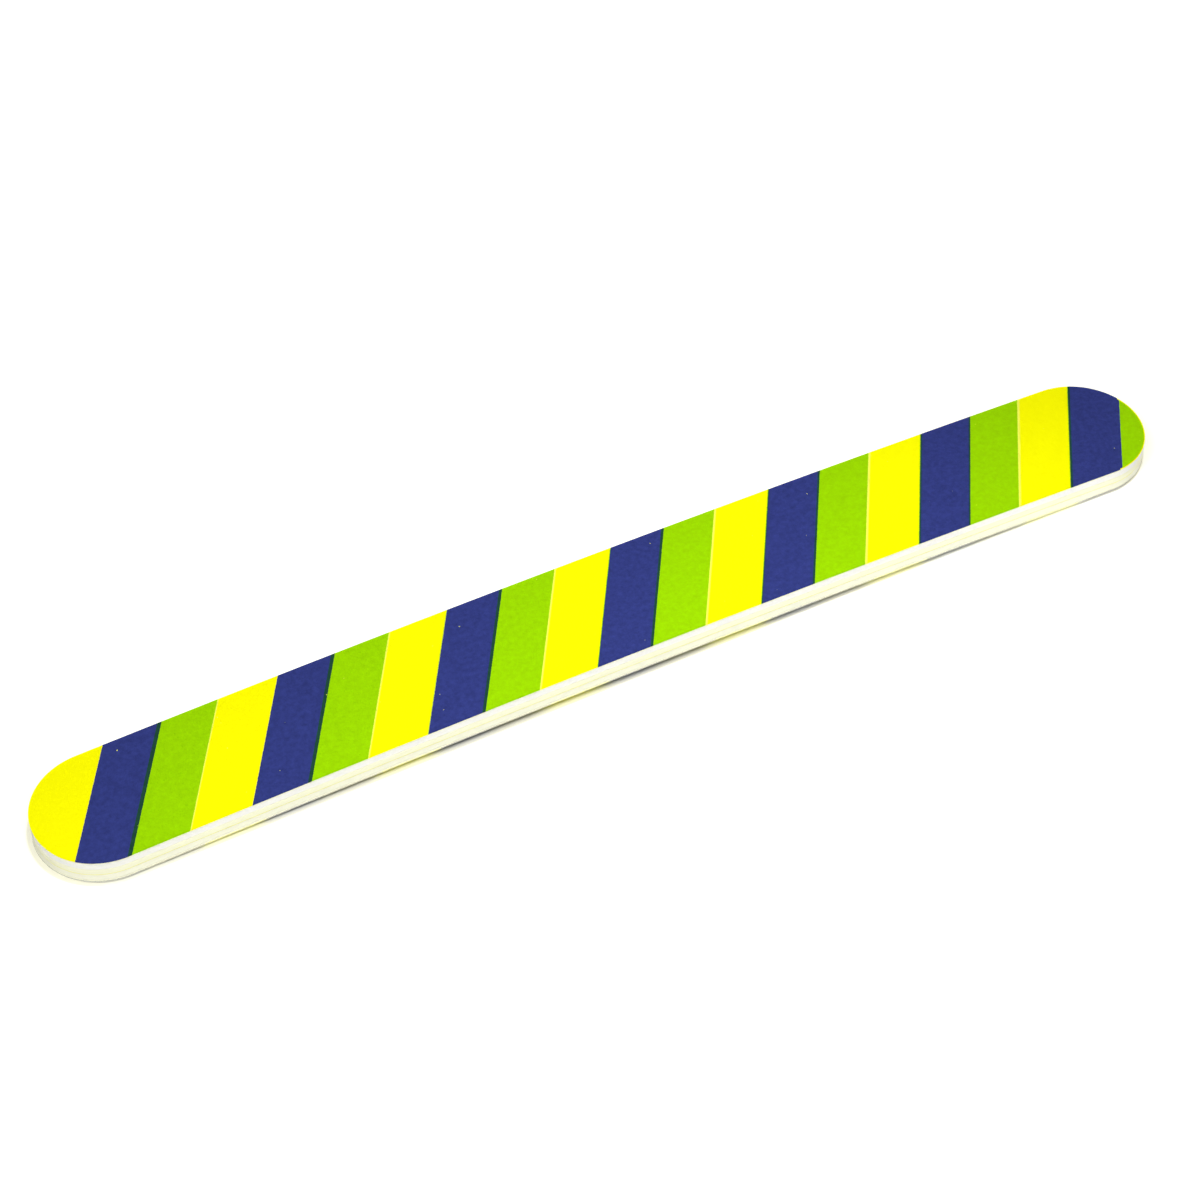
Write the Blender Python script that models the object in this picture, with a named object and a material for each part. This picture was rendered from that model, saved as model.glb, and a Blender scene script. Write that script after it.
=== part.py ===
"""A foam nail file, built up as a laminate.

Nine layers lie on each other and were cut out together with one die: a plastic core in the
middle, a foam pad on each face of it, a printed abrasive sheet on each pad, and a film of
adhesive at each of the four joints between them. The file has round ends and a slight bow
along its length, so it stands on its two tips, each of which lies flat for a short way.
X runs along the file, Y across it and Z up. The origin is under the middle of the file,
level with the underside of the tips.
"""

import math

import bmesh
import bpy
from mathutils import Vector

# Outline of the file, in metres
FILE_LENGTH = 0.178
FILE_WIDTH = 0.020

# Height of the middle above the tips, and the length at each tip that lies flat
BOW_RISE = 0.0016
TIP_REST_LENGTH = 0.0015

# Thickness of each kind of layer
SHEET_THICKNESS = 0.0003
SHEET_ADHESIVE_THICKNESS = 0.00008
FOAM_THICKNESS = 0.00105
CORE_ADHESIVE_THICKNESS = 0.00008
CORE_THICKNESS = 0.0009

# Space between the faces of two neighbouring layers
LAYER_CLEARANCE = 0.00001

# Points closer than this share of a layer's thickness are one point
WELD_SHARE = 0.01

# Flat steps round each half-circle end, an even count, so that one point is the tip
END_STEPS = 24

# Flat steps along the straight sides, an odd count, so that the middle one lies level
SIDE_STEPS = 15

# The largest turn between two faces that count as one flat face
FLAT_ANGLE = math.radians(0.5)

# The smallest turn between two faces that shows as a sharp edge
SHARP_ANGLE = math.radians(30)

# Linear colours, as red, green, blue and alpha
PRINT_YELLOW = (1.0, 0.92, 0.0, 1.0)
ADHESIVE_CREAM = (0.87, 0.85, 0.66, 1.0)
FOAM_IVORY = (0.91, 0.90, 0.82, 1.0)
CORE_WHITE = (0.93, 0.92, 0.86, 1.0)

# Roughness of each surface
GRIT_ROUGHNESS = 0.85
ADHESIVE_ROUGHNESS = 0.4
FOAM_ROUGHNESS = 0.8
CORE_ROUGHNESS = 0.5


def make_material(name, colour, roughness):
    """A surface of one colour, with no metal in it."""
    material = bpy.data.materials.new(name)
    material.use_nodes = True
    shader = material.node_tree.nodes["Principled BSDF"]
    shader.inputs["Base Color"].default_value = colour
    shader.inputs["Roughness"].default_value = roughness
    shader.inputs["Metallic"].default_value = 0.0
    material.diffuse_color = colour
    return material


def end_radius():
    """Radius of the half-circle ends, which run into the straight sides."""
    return FILE_WIDTH / 2


def end_centre():
    """Distance from the middle of the file to the centre of either end's half circle."""
    return FILE_LENGTH / 2 - end_radius()


def outline_points():
    """The outline, once round: the +X end from its near corner, then the -X end."""
    points = []
    for side in (1, -1):
        for step in range(END_STEPS + 1):
            turn = math.pi * (step / END_STEPS - 1 / 2)
            reach = end_centre() + end_radius() * math.cos(turn)
            points.append(Vector((side * reach, side * end_radius() * math.sin(turn), 0)))
    return points


def bow_reach():
    """Distance from the middle of the file to where the bow comes down to the flat tips."""
    return FILE_LENGTH / 2 - TIP_REST_LENGTH


def cut_places():
    """Places along X where each layer is cut into strips, so that it can follow the bow.

    A cut at every pair of outline points keeps each strip's faces flat once it is lifted.
    """
    places = [point.x for point in outline_points() if point.y > 0]
    places.extend((-bow_reach(), bow_reach()))
    for step in range(1, SIDE_STEPS):
        places.append(end_centre() * (2 * step / SIDE_STEPS - 1))
    return places


def bow_height(x):
    """Height that the bow adds at x: all of it in the middle, and none on the flat tips."""
    return BOW_RISE * max(0, 1 - (x / bow_reach()) ** 2)


def make_flat_layer(name, thickness):
    """A flat plate of the file's outline, centred on its own middle plane, as a mesh."""
    curve = bpy.data.curves.new(name, "CURVE")
    curve.dimensions = "2D"
    curve.fill_mode = "BOTH"
    curve.extrude = thickness / 2
    points = outline_points()
    spline = curve.splines.new("POLY")
    spline.points.add(len(points) - 1)
    for spline_point, place in zip(spline.points, points):
        spline_point.co = (*place, 1.0)
    spline.use_cyclic_u = True
    outline = bpy.data.objects.new(name + "_outline", curve)
    bpy.context.scene.collection.objects.link(outline)
    graph = bpy.context.evaluated_depsgraph_get()
    mesh = bpy.data.meshes.new_from_object(outline.evaluated_get(graph))
    bpy.data.objects.remove(outline)
    bpy.data.curves.remove(curve)
    mesh.name = name
    return mesh


def follow_bow(mesh, weld_distance):
    """Cuts the plate into strips and lifts them, so that the plate takes the file's bow."""
    shape = bmesh.new()
    shape.from_mesh(mesh)
    bmesh.ops.remove_doubles(shape, verts=shape.verts, dist=weld_distance)
    bmesh.ops.dissolve_limit(
        shape, angle_limit=FLAT_ANGLE, verts=shape.verts, edges=shape.edges
    )
    for place in cut_places():
        bmesh.ops.bisect_plane(
            shape,
            geom=shape.verts[:] + shape.edges[:] + shape.faces[:],
            dist=weld_distance,
            plane_co=(place, 0, 0),
            plane_no=(1, 0, 0),
        )
    for corner in shape.verts:
        corner.co.z += bow_height(corner.co.x)
    bmesh.ops.recalc_face_normals(shape, faces=shape.faces)
    shape.to_mesh(mesh)
    shape.free()
    mesh.shade_smooth()
    mesh.set_sharp_from_angle(angle=SHARP_ANGLE)


def add_layer(collection, name, thickness, underside, colour, roughness):
    """One layer of the laminate. The underside is its height above the tips' underside."""
    mesh = make_flat_layer(name, thickness)
    follow_bow(mesh, WELD_SHARE * thickness)
    mesh.materials.clear()
    mesh.materials.append(make_material(name, colour, roughness))
    layer = bpy.data.objects.new(name, mesh)
    layer.location = (0, 0, underside + thickness / 2)
    collection.objects.link(layer)


def clear_scene():
    for old in list(bpy.data.objects):
        bpy.data.objects.remove(old, do_unlink=True)


def build_nail_file():
    """Lays the nine layers on each other, from the lowest up."""
    sheet = (SHEET_THICKNESS, PRINT_YELLOW, GRIT_ROUGHNESS)
    sheet_adhesive = (SHEET_ADHESIVE_THICKNESS, ADHESIVE_CREAM, ADHESIVE_ROUGHNESS)
    foam = (FOAM_THICKNESS, FOAM_IVORY, FOAM_ROUGHNESS)
    core_adhesive = (CORE_ADHESIVE_THICKNESS, ADHESIVE_CREAM, ADHESIVE_ROUGHNESS)
    core = (CORE_THICKNESS, CORE_WHITE, CORE_ROUGHNESS)
    layers = (
        ("lower_abrasive_sheet", sheet),
        ("lower_sheet_adhesive", sheet_adhesive),
        ("lower_foam_pad", foam),
        ("lower_core_adhesive", core_adhesive),
        ("plastic_core", core),
        ("upper_core_adhesive", core_adhesive),
        ("upper_foam_pad", foam),
        ("upper_sheet_adhesive", sheet_adhesive),
        ("upper_abrasive_sheet", sheet),
    )
    collection = bpy.data.collections.new("nail_file")
    bpy.context.scene.collection.children.link(collection)
    underside = 0
    for name, (thickness, colour, roughness) in layers:
        add_layer(collection, name, thickness, underside, colour, roughness)
        underside += thickness + LAYER_CLEARANCE


clear_scene()
build_nail_file()
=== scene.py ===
"""Looks of the foam nail file: its printed abrasive sheets, foam pads, plastic core and adhesive.

The file is laid out as a Blender add-on and is run as a script. Each operator makes one group
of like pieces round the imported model, which is loaded first and gives their places.
X runs along the file, Y across it and Z up, in metres.
"""

import math
import random

import bpy
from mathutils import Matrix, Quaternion, Vector
from mathutils.geometry import delaunay_2d_cdt


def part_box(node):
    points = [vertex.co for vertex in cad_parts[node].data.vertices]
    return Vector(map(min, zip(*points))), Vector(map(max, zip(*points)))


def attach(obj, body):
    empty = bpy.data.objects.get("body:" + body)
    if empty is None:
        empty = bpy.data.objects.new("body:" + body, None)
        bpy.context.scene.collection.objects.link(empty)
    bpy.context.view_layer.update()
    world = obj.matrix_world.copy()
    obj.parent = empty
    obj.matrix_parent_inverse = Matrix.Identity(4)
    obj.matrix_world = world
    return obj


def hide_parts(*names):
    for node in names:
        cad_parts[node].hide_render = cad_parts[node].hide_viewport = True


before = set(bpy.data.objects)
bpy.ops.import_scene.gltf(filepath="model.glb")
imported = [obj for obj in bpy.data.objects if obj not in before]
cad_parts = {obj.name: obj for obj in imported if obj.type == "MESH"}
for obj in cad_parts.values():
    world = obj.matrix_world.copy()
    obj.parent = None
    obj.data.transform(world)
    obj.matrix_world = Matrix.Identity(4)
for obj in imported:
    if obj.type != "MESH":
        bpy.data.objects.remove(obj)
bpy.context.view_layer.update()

bl_info = {
    "name": "Foam nail file",
    "version": (1, 0, 0),
    "blender": (4, 5, 0),
    "location": "View3D > Sidebar > Nail file",
    "description": "Builds a striped foam nail file, layer by layer, on its studio stage",
    "category": "Object",
}

MILLIMETRE = 0.001
BODY = "root"

# The two halves of the file, as its nodes and pieces are named
LEVELS = ("lower", "upper")

# Space between two neighbouring layers, and the flat length at each tip, as in the CAD model
LAYER_CLEARANCE = 0.00001
TIP_REST_LENGTH = 0.0015

# Points of a wrapped grid that are closer than this are one point
WELD_DISTANCE = 0.000002

# Name of the map that a finished piece brings along for its painted surface, the rows that
# a layer and a sheet are folded into on it, and the free margin round each row
MAP_NAME = "OFBake"
LAYER_MAP_ROWS = 8
SHEET_MAP_ROWS = 3
MAP_MARGIN = 0.01

# Name of the tree that all the die-cut layers share
LAYER_TREE = "Die-cut layer"

# Rows of faces up the wall of each kind of layer, and depth and length of the waves on it
WALLS = {
    "core_plastic": (10, 0.00001, 0.0006),
    "foam": (12, 0.00003, 0.0012),
    "adhesive": (3, 0.00006, 0.0008),
    "printed_grit": (4, 0.00003, 0.0004),
}

# Distance between the patterns on the walls of two like layers
PATTERN_STEP = 0.01

# Turn between two faces beyond which their edge looks crisp
LAYER_CRISP_ANGLE = math.radians(40)
COAT_CRISP_ANGLE = math.radians(25)
GRAIN_CRISP_ANGLE = math.radians(20)

# Range in which cloudy noise mostly lies
NOISE_LOW = 0.3
NOISE_HIGH = 0.7

# Distances from a cell's middle, in cells, at which its pit is at full depth and at which it ends
PIT_FLOOR = 0.15
PIT_RIM = 0.5

# Of the distance between the small grains: how far one strays, and its least distance to the rim
NET_STRAY = 0.33
NET_RIM_SPACE = 0.55

# Points of the net that are closer than this are one point
NET_WELD = 1e-7

# Share of a sheet's half width at which the coat starts to follow the cut
PULL_START = 0.9

# Most large grains to a square metre, before their least distance thins them
GRAIN_DENSITY = 4e7

# Range of a large grain's stretch, and the seeds of its share, turn, stretch and kind
GRAIN_STRETCH = (0.6, 1.3)
SHARE_SEED = 11
TURN_SEED = 12
STRETCH_SEED = 13
KIND_SEED = 14

# How many of the paper's fibres and of the core's marks there are to a millimetre, each way
FIBRE_SCALE = (3.0, 3.0, 12.0)
MARK_SCALE = (0.6, 0.6, 14.0)

# How far the foam scatters light: red, green and blue as shares of one length
FOAM_SCATTER = (1.0, 0.9, 0.7)
FOAM_SCATTER_LENGTH = 0.0004

# Numbers of stripes that are closer than this are the same number
SAME_STRIPE = 0.5

# How much the yellow rim's inner edge strays, and how soft it is, in millimetres
RIM_STRAY = 0.1
RIM_SOFTNESS = 0.05

# Rise of a face's normal up to which it counts as wall, and from which it doesn't
WALL_RISE = 0.05
FACE_RISE = 0.15

FLOOR_SIDES = 64


def underside(node):
    """Height of a layer's underside at the tips of the file."""
    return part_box(node)[0].z


SHEET_LOW, SHEET_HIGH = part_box("upper_abrasive_sheet")
FILE_LENGTH = SHEET_HIGH.x - SHEET_LOW.x
FILE_WIDTH = SHEET_HIGH.y - SHEET_LOW.y
END_RADIUS = FILE_WIDTH / 2
HALF_STRAIGHT = FILE_LENGTH / 2 - END_RADIUS
SHEET_THICKNESS = underside("lower_sheet_adhesive") - LAYER_CLEARANCE
BOW_RISE = SHEET_HIGH.z - SHEET_LOW.z - SHEET_THICKNESS


def layer_span(node):
    """Heights of a layer's underside and upper side at the tips of the file."""
    low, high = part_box(node)
    return low.z, high.z - BOW_RISE


class NodeSteps:
    """Adds nodes to a tree step by step. Each step gives the socket that the next one takes."""

    def __init__(self, tree):
        self.tree = tree

    def feed(self, socket, value):
        if isinstance(value, bpy.types.NodeSocket):
            self.tree.links.new(value, socket)
        else:
            socket.default_value = value

    def add(self, kind, inputs=None, **settings):
        node = self.tree.nodes.new(kind)
        for name, value in settings.items():
            setattr(node, name, value)
        for name, value in (inputs or {}).items():
            if isinstance(name, int):
                self.feed(node.inputs[name], value)
            else:
                wanted = [s for s in node.inputs if s.name == name and s.enabled]
                self.feed(wanted[0], value)
        return node

    def out(self, kind, inputs=None, output=None, **settings):
        node = self.add(kind, inputs, **settings)
        wanted = [s for s in node.outputs if s.enabled and output in (None, s.name)]
        return wanted[0]

    def math(self, operation, *values):
        return self.out("ShaderNodeMath", dict(enumerate(values)), operation=operation)

    def minus(self, first, second):
        return self.math("SUBTRACT", first, second)

    def over(self, first, second):
        return self.math("DIVIDE", first, second)

    def total(self, first, *others):
        for other in others:
            first = self.math("ADD", first, other)
        return first

    def product(self, first, *others):
        for other in others:
            first = self.math("MULTIPLY", first, other)
        return first

    def vector(self, operation, *values, scale=None):
        inputs = dict(enumerate(values))
        if scale is not None:
            inputs["Scale"] = scale
        return self.out("ShaderNodeVectorMath", inputs, operation=operation)

    def length(self, value):
        return self.out(
            "ShaderNodeVectorMath", {0: value}, output="Value", operation="LENGTH"
        )

    def join_xyz(self, x, y, z):
        return self.out("ShaderNodeCombineXYZ", {"X": x, "Y": y, "Z": z})

    def split_xyz(self, vector):
        node = self.add("ShaderNodeSeparateXYZ", {"Vector": vector})
        return node.outputs["X"], node.outputs["Y"], node.outputs["Z"]

    def ramp(self, value, start, end, low=0.0, high=1.0, smooth=True):
        """A value that goes from low to high as the input goes from start to end."""
        return self.out(
            "ShaderNodeMapRange",
            {
                "Value": value,
                "From Min": start,
                "From Max": end,
                "To Min": low,
                "To Max": high,
            },
            interpolation_type="SMOOTHSTEP" if smooth else "LINEAR",
        )

    def noise(self, vector, size, detail=2.0, roughness=0.5):
        """Cloudy noise whose patches are about the given size, round a mean of a half."""
        return self.out(
            "ShaderNodeTexNoise",
            {
                "Vector": vector,
                "Scale": self.over(1.0, size),
                "Detail": detail,
                "Roughness": roughness,
            },
            output="Fac",
        )

    def spread(self, noise, low, high, smooth=True):
        """A value that goes from low to high over the range in which noise mostly lies."""
        return self.ramp(noise, NOISE_LOW, NOISE_HIGH, low, high, smooth)

    def cells(self, vector, size, output="Distance"):
        return self.out(
            "ShaderNodeTexVoronoi",
            {"Vector": vector, "Scale": self.over(1.0, size)},
            output=output,
        )


def rim_vector(steps, x, y, half_straight):
    """From the nearest point of the file's centre line out to a place on it."""
    past_end = steps.minus(steps.math("ABSOLUTE", x), half_straight)
    return steps.join_xyz(steps.math("MAXIMUM", past_end, 0.0), y, 0.0)


def bow_height(steps, x, length, rise, tip_rest):
    """The height that the file's bow adds at x."""
    reach = steps.minus(steps.product(length, 0.5), tip_rest)
    share = steps.over(x, reach)
    drop = steps.product(share, share)
    return steps.product(rise, steps.math("MAXIMUM", steps.minus(1.0, drop), 0.0))


def store(steps, geometry, name, value, kind="FLOAT", domain="POINT"):
    """The geometry, with a value kept on it by name."""
    return steps.out(
        "GeometryNodeStoreNamedAttribute",
        {"Geometry": geometry, "Name": name, "Value": value},
        data_type=kind,
        domain=domain,
    )


def chance(steps, low, high, seed, kind="FLOAT"):
    """A random value between two others."""
    return steps.out(
        "FunctionNodeRandomValue", {"Min": low, "Max": high, "Seed": seed}, data_type=kind
    )


def add_map(steps, geometry, along, across, rows):
    """The geometry with its square map, on which a long strip is folded into rows by faces."""
    face_along = steps.out(
        "GeometryNodeFieldOnDomain", {"Value": along}, domain="FACE", data_type="FLOAT"
    )
    last_row = steps.minus(rows, 1.0)
    row = steps.math("MINIMUM", steps.math("FLOOR", steps.product(face_along, rows)), last_row)
    in_row = steps.minus(steps.product(along, rows), row)
    u = steps.ramp(in_row, 0.0, 1.0, MAP_MARGIN, 1 - MAP_MARGIN, smooth=False)
    v = steps.ramp(across, 0.0, 1.0, 2 * MAP_MARGIN, 1 - 2 * MAP_MARGIN, smooth=False)
    place = steps.join_xyz(u, steps.over(steps.total(row, v), rows), 0.0)
    return store(steps, geometry, MAP_NAME, place, kind="FLOAT2", domain="CORNER")


class GeometryTree:
    """A Geometry Nodes tree with named inputs. The first are the material and the file's sizes."""

    def __init__(self, name):
        self.tree = bpy.data.node_groups.new(name, "GeometryNodeTree")
        for direction in ("OUTPUT", "INPUT"):
            self.tree.interface.new_socket(
                "Geometry", in_out=direction, socket_type="NodeSocketGeometry"
            )
        self.steps = NodeSteps(self.tree)
        self.inputs = self.tree.nodes.new("NodeGroupInput")
        self.material = self.input("Material", "NodeSocketMaterial")
        self.length, self.width = self.sizes("Length", "Width")
        self.rise, self.tip_rest = self.sizes("Bow Rise", "Tip Rest")
        self.radius = self.steps.product(self.width, 0.5)
        self.half_straight = self.steps.minus(self.steps.product(self.length, 0.5), self.radius)

    def input(self, name, kind="NodeSocketFloat"):
        self.tree.interface.new_socket(name, in_out="INPUT", socket_type=kind)
        return self.inputs.outputs[name]

    def sizes(self, *names):
        return [self.input(name) for name in names]

    def counts(self, *names):
        return [self.input(name, "NodeSocketInt") for name in names]

    def on_bow(self, x, y, height):
        """A place at a height above the base of the flat file, lifted by its bow."""
        lift = bow_height(self.steps, x, self.length, self.rise, self.tip_rest)
        return self.steps.join_xyz(x, y, self.steps.total(height, lift))

    def finish(self, geometry):
        """Ends the tree, which realizes its instances and sets the material."""
        realized = self.steps.out("GeometryNodeRealizeInstances", {"Geometry": geometry})
        dressed = self.steps.out(
            "GeometryNodeSetMaterial", {"Geometry": realized, "Material": self.material}
        )
        output = self.tree.nodes.new("NodeGroupOutput")
        self.tree.links.new(dressed, output.inputs["Geometry"])
        return self.tree


def run_tree(name, tree, values, mesh=None):
    """Runs a tree on a mesh and gives back its result as a new object with a plain mesh."""
    source = bpy.data.objects.new(name + "_source", mesh or bpy.data.meshes.new(name + "_source"))
    bpy.context.scene.collection.objects.link(source)
    modifier = source.modifiers.new(tree.name, "NODES")
    modifier.node_group = tree
    for item in tree.interface.items_tree:
        if item.in_out == "INPUT" and item.name in values:
            modifier[item.identifier] = values[item.name]
    graph = bpy.context.evaluated_depsgraph_get()
    result = bpy.data.meshes.new_from_object(
        source.evaluated_get(graph), preserve_all_data_layers=True, depsgraph=graph
    )
    source_mesh = source.data
    bpy.data.objects.remove(source)
    bpy.data.meshes.remove(source_mesh)
    if not result.polygons:
        raise RuntimeError(f"{tree.name} made no faces for {name}")
    result.materials.clear()
    result.materials.append(values["Material"])
    result.polygons.foreach_set("material_index", [0] * len(result.polygons))
    result.name = name
    piece = bpy.data.objects.new(name, result)
    bpy.context.scene.collection.objects.link(piece)
    return piece


def file_values(cut):
    """The inputs that every tree of this file shares."""
    return {
        "Length": FILE_LENGTH,
        "Width": FILE_WIDTH,
        "Bow Rise": BOW_RISE,
        "Tip Rest": TIP_REST_LENGTH,
        "Cut Wander": cut.cut_wander,
        "Cut Wander Size": cut.cut_wander_size,
    }


def cut_wander(steps, place, depth, size):
    """How far the die's cut strays inwards. It is the same for every layer at one place."""
    return steps.product(depth, steps.noise(place, size, detail=3.0, roughness=0.6))


def layer_tree():
    """A layer cut out by the die: a round-ended plate on the bow, with a finely modelled wall.

    A grid is wrapped into the plate. Its columns run from tip to tip, and its rows go up one
    wall, across the top, down the other wall and back across the underside.
    """
    group = GeometryTree(LAYER_TREE)
    steps = group.steps
    radius, half_straight = group.radius, group.half_straight
    wander, wander_size = group.sizes("Cut Wander", "Cut Wander Size")
    low, thickness, set_back = group.sizes("Underside", "Thickness", "Set Back")
    rounding, waist = group.sizes("Edge Rounding", "Waist")
    pit_depth, pit_size = group.sizes("Pit Depth", "Pit Size")
    wave_depth, wave_size = group.sizes("Wave Depth", "Wave Size")
    shift = group.input("Pattern Shift")
    columns, rows, map_rows = group.counts("Columns", "Wall Rows", "Map Rows")

    loop_steps = steps.total(steps.product(rows, 2.0), 2.0)
    grid = steps.out(
        "GeometryNodeMeshGrid",
        {
            "Size X": 1.0,
            "Size Y": 1.0,
            "Vertices X": steps.total(columns, 1.0),
            "Vertices Y": steps.total(loop_steps, 1.0),
        },
        output="Mesh",
    )
    grid_x, grid_y, _ = steps.split_xyz(steps.out("GeometryNodeInputPosition"))
    along = steps.total(grid_x, 0.5)
    round_loop = steps.total(grid_y, 0.5)
    mapped = add_map(steps, grid, along, round_loop, map_rows)

    half_outline = steps.total(half_straight, steps.product(radius, math.pi / 2))
    travel = steps.product(grid_x, 2.0, half_outline)
    past_end = steps.minus(steps.math("ABSOLUTE", travel), half_straight)
    turn = steps.over(steps.math("MAXIMUM", past_end, 0.0), radius)
    end_sign = steps.math("SIGN", travel)
    from_middle = steps.math("MINIMUM", steps.math("ABSOLUTE", travel), half_straight)
    axis_x = steps.product(end_sign, from_middle)
    loop_step = steps.math("ROUND", steps.product(round_loop, loop_steps))
    loop_step = steps.math("MODULO", loop_step, loop_steps)
    far_step = steps.minus(steps.minus(loop_steps, 1.0), loop_step)
    level = steps.over(steps.math("MINIMUM", loop_step, far_step), rows)
    on_far_side = steps.math("GREATER_THAN", loop_step, steps.total(rows, 0.5))
    side = steps.minus(1.0, steps.product(on_far_side, 2.0))
    outwards_x = steps.product(end_sign, steps.math("SINE", turn))
    outwards_y = steps.product(side, steps.math("COSINE", turn))

    height = steps.product(level, thickness)
    rim = steps.join_xyz(
        steps.total(axis_x, steps.product(outwards_x, radius)),
        steps.product(outwards_y, radius),
        0.0,
    )
    spot = steps.vector("ADD", rim, steps.join_xyz(0.0, 0.0, steps.total(height, shift)))
    from_edge = steps.math("MINIMUM", height, steps.minus(thickness, height))
    edge_share = steps.minus(1.0, steps.over(from_edge, rounding))
    edge_share = steps.math("MAXIMUM", edge_share, 0.0)
    rounded = steps.product(rounding, edge_share, edge_share)
    # A wall pulls in along a parabola: by all of the waist at half height, and not at its edges
    waisted = steps.product(waist, 4.0, level, steps.minus(1.0, level))
    open_cell = steps.ramp(steps.cells(spot, pit_size), PIT_FLOOR, PIT_RIM, 1.0, 0.0)
    cell_share = steps.split_xyz(steps.cells(spot, pit_size, output="Color"))[0]
    pitted = steps.product(pit_depth, open_cell, cell_share)
    waved = steps.product(wave_depth, steps.noise(spot, wave_size))
    wandered = cut_wander(steps, rim, wander, wander_size)
    inset = steps.total(wandered, set_back, rounded, waisted, pitted, waved)
    reach = steps.minus(radius, inset)
    place = group.on_bow(
        steps.total(axis_x, steps.product(outwards_x, reach)),
        steps.product(outwards_y, reach),
        steps.total(low, height),
    )
    wrapped = steps.out("GeometryNodeSetPosition", {"Geometry": mapped, "Position": place})
    closed = steps.out(
        "GeometryNodeMergeByDistance", {"Geometry": wrapped, "Distance": WELD_DISTANCE}
    )
    outwards = steps.out("GeometryNodeFlipFaces", {"Mesh": closed})
    return group.finish(outwards)


def shade(piece, angle):
    """Smooth faces, with a crisp edge wherever two faces meet at more than the angle."""
    piece.data.shade_smooth()
    piece.data.set_sharp_from_angle(angle=angle)


def place_piece(piece, slot, *nodes):
    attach(piece, BODY)
    if nodes:
        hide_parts(*nodes)


def columns_for(step):
    """Faces along half of the outline, each about one step wide."""
    return round((2 * HALF_STRAIGHT + math.pi * END_RADIUS) / step)


def make_layer(name, node, slot, material, inputs):
    """One die-cut layer in the place of its CAD node. The inputs add to a plain wall's."""
    cut = bpy.context.scene.nail_file_cut
    low, high = layer_span(node)
    rows, wave_depth, wave_size = WALLS[slot]
    values = {
        "Material": material,
        "Underside": low,
        "Thickness": high - low,
        "Set Back": 0.0,
        "Edge Rounding": cut.edge_rounding,
        "Waist": 0.0,
        "Pit Depth": 0.0,
        "Pit Size": MILLIMETRE,
        "Wave Depth": wave_depth,
        "Wave Size": wave_size,
        "Pattern Shift": 0.0,
        "Columns": columns_for(cut.plain_step),
        "Wall Rows": rows,
        "Map Rows": LAYER_MAP_ROWS,
        **file_values(cut),
        **inputs,
    }
    tree = bpy.data.node_groups.get(LAYER_TREE) or layer_tree()
    piece = run_tree(name, tree, values)
    shade(piece, LAYER_CRISP_ANGLE)
    place_piece(piece, slot, node)
    return piece


class Paint:
    """A material in the making, with its steps and Object coordinates in millimetres."""

    def __init__(self, name, roughness, specular):
        self.material = bpy.data.materials.new(name)
        self.material.use_nodes = True
        nodes = self.material.node_tree.nodes
        self.steps = NodeSteps(self.material.node_tree)
        self.shader = nodes["Principled BSDF"]
        self.shader.inputs["Roughness"].default_value = roughness
        self.shader.inputs["Specular IOR Level"].default_value = specular
        place = nodes.new("ShaderNodeTexCoord").outputs["Object"]
        self.spot = self.steps.vector("SCALE", place, scale=1 / MILLIMETRE)

    def finish(self, colour, relief, depth):
        """Sets the colour, and fine relief in the shading alone. The depth is in millimetres."""
        bump = self.steps.out(
            "ShaderNodeBump", {"Height": relief, "Distance": depth * MILLIMETRE}
        )
        self.steps.feed(self.shader.inputs["Base Color"], colour)
        self.steps.feed(self.shader.inputs["Normal"], bump)
        return self.material


def mix_colours(steps, factor, first, second):
    """The first colour where the factor is 0, and the second where it is 1."""
    inputs = {"Factor": factor, "A": first, "B": second}
    return steps.out("ShaderNodeMix", inputs, data_type="RGBA")


def brighten(steps, colour, factor):
    """The colour with its brightness multiplied by a factor."""
    return steps.vector("SCALE", colour, scale=factor)


def painted_foot_shade(steps, cut, spot, level):
    """The share of its brightness that a wall keeps at a place in millimetres.

    The foot of the lower layers is painted darker just before the right tip, on which the file
    rests: painted shade where the wall meets the floor.
    """
    x, _, z = steps.split_xyz(spot)
    depth = cut.painted_foot_shade if level == "lower" else 0.0
    middle = cut.painted_foot_shade_place / MILLIMETRE
    reach = cut.painted_foot_shade_reach / MILLIMETRE
    from_middle = steps.math("ABSOLUTE", steps.minus(x, middle))
    along_wall = steps.ramp(from_middle, reach / 2, reach, depth, 0.0)
    top = cut.painted_foot_shade_height / MILLIMETRE
    at_foot = steps.ramp(z, top / 2, top, 1.0, 0.0)
    return steps.minus(1.0, steps.product(along_wall, at_foot))


class Ink:
    """Stripes of one ink, in millimetres: the middle of the first, and how the next follow."""

    def __init__(self, inks, name, colour, drift=0.0, widening=0.0):
        self.colour = (*colour, 1)
        self.centre = getattr(inks, f"{name}_centre") / MILLIMETRE
        self.width = getattr(inks, f"{name}_width") / MILLIMETRE
        self.pitch = (inks.pitch + drift) / MILLIMETRE
        self.widening = widening / MILLIMETRE

    def edges(self, steps, along):
        """The nearest stripe's number, and how far a place is inside its left and right edge."""
        from_first = steps.minus(along, self.centre)
        number = steps.math("ROUND", steps.over(from_first, self.pitch))
        from_middle = steps.minus(from_first, steps.product(number, self.pitch))
        half_width = steps.total(steps.product(number, self.widening / 2), self.width / 2)
        inside_left = steps.total(half_width, from_middle)
        inside_right = steps.minus(half_width, from_middle)
        return number, inside_left, inside_right


def mask(steps, depth, softness):
    """1 where the depth is above 0, and 0 where it is below."""
    return steps.ramp(depth, -softness, softness)


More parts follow.
